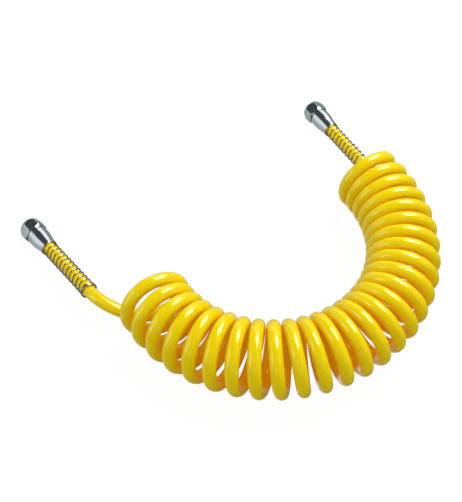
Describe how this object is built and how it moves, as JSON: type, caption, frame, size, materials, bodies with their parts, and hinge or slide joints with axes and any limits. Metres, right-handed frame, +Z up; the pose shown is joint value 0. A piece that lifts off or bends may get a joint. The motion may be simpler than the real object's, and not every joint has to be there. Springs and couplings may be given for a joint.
{
  "type": "coiled air hose",
  "caption": "Coiled plastic air hose lying in an open curve, with a hexagonal swivel nut, a tapered clamp sleeve and a coil spring guard at each end.",
  "frame": {"origin": "middle of the footprint, on the plane the coil and nuts lie on", "axes": "+Z up from the plane; +X along the footprint's longer side, with the inlet end at -X and the outlet end at +Y"},
  "size_m": [0.3996, 0.3792, 0.068],
  "materials": {
    "polyurethane": "glossy yellow polyurethane",
    "chrome": "bright chrome plating",
    "spring_steel": "bright drawn wire",
    "brass": "turned brass",
    "rubber": "matt black rubber"
  },
  "bodies": {
    "hose": {"hose": "polyurethane"},
    "inlet_fitting": {"inlet_hose_stem": "brass", "inlet_sleeve": "chrome", "inlet_clamp_ring": "brass", "inlet_seal_ring": "rubber", "inlet_retaining_ring": "spring_steel", "inlet_spring_guard": "spring_steel"},
    "inlet_nut": {"inlet_swivel_nut": "chrome"},
    "outlet_guard": {"outlet_spring_guard": "spring_steel"},
    "outlet_fitting": {"outlet_hose_stem": "brass", "outlet_sleeve": "chrome", "outlet_clamp_ring": "brass", "outlet_seal_ring": "rubber", "outlet_retaining_ring": "spring_steel"},
    "outlet_nut": {"outlet_swivel_nut": "chrome"}
  },
  "joints": [
    {"name": "inlet_flex", "type": "hinge", "parent": "hose", "child": "inlet_fitting", "pos_m": [-0.1447, -0.04739, 0.019], "axis": [0, 0, 1], "range_deg": [-35, 35], "deforming": ["hose", "inlet_spring_guard"]},
    {"name": "inlet_nut_spin", "type": "hinge", "parent": "inlet_fitting", "child": "inlet_nut", "pos_m": [-0.19192, 0.01218, 0.01034], "axis": [-0.6172, 0.7787, -0.1132], "continuous": true},
    {"name": "coil_stretch", "type": "slide", "parent": "hose", "child": "outlet_guard", "axis": [0.8729, 0.4879, 0], "range_m": [0, 1.2], "deforming": ["hose"]},
    {"name": "outlet_flex", "type": "hinge", "parent": "outlet_guard", "child": "outlet_fitting", "pos_m": [0.13383, 0.118, 0.01212], "axis": [0, 0, 1], "range_deg": [-35, 35], "deforming": ["hose", "outlet_spring_guard"]},
    {"name": "outlet_nut_spin", "type": "hinge", "parent": "outlet_fitting", "child": "outlet_nut", "pos_m": [0.09645, 0.18475, 0.01212], "axis": [-0.4886, 0.8725, 0], "continuous": true}
  ]
}
